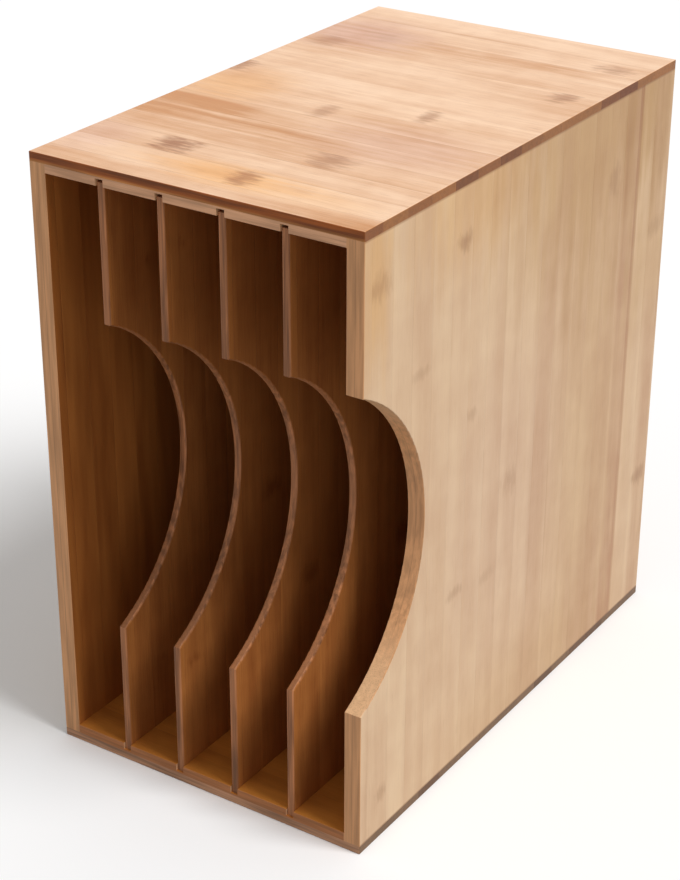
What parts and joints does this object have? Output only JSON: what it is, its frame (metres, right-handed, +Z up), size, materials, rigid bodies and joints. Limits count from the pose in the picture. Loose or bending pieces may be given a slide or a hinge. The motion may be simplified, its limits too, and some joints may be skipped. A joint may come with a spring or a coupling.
{
  "type": "record storage stand",
  "caption": "Upright laminated bamboo stand for record sleeves: open-fronted case with slide-out dividers between its bays and a round finger cut-out in the right side and the dividers.",
  "frame": {"origin": "middle of the underside, on the surface that the stand rests on", "axes": "+Z up, the open front faces -Y, +X to the right of someone facing the open front"},
  "size_m": [0.2, 0.324, 0.35],
  "materials": {
    "bamboo_panel": "satin clear lacquer over warm laminated bamboo",
    "bamboo_slotted": "satin clear lacquer over laminated bamboo",
    "bamboo_side": "satin clear lacquer over pale vertical bamboo strips",
    "bamboo_back": "satin clear lacquer over bamboo plywood",
    "bamboo_divider": "satin clear lacquer over thin bamboo plywood"
  },
  "bodies": {
    "case": {"top_panel": "bamboo_panel", "top_slotted_board": "bamboo_slotted", "base_panel": "bamboo_panel", "base_slotted_board": "bamboo_slotted", "left_side": "bamboo_side", "right_side": "bamboo_side", "back_panel": "bamboo_back"},
    "divider_1": {"divider_1": "bamboo_divider"},
    "divider_2": {"divider_2": "bamboo_divider"},
    "divider_3": {"divider_3": "bamboo_divider"},
    "divider_4": {"divider_4": "bamboo_divider"}
  },
  "joints": [
    {"name": "divider_1_slide", "type": "slide", "parent": "case", "child": "divider_1", "axis": [0, -1, 0], "range_m": [0, 0.33]},
    {"name": "divider_2_slide", "type": "slide", "parent": "case", "child": "divider_2", "axis": [0, -1, 0], "range_m": [0, 0.33]},
    {"name": "divider_3_slide", "type": "slide", "parent": "case", "child": "divider_3", "axis": [0, -1, 0], "range_m": [0, 0.33]},
    {"name": "divider_4_slide", "type": "slide", "parent": "case", "child": "divider_4", "axis": [0, -1, 0], "range_m": [0, 0.33]}
  ]
}
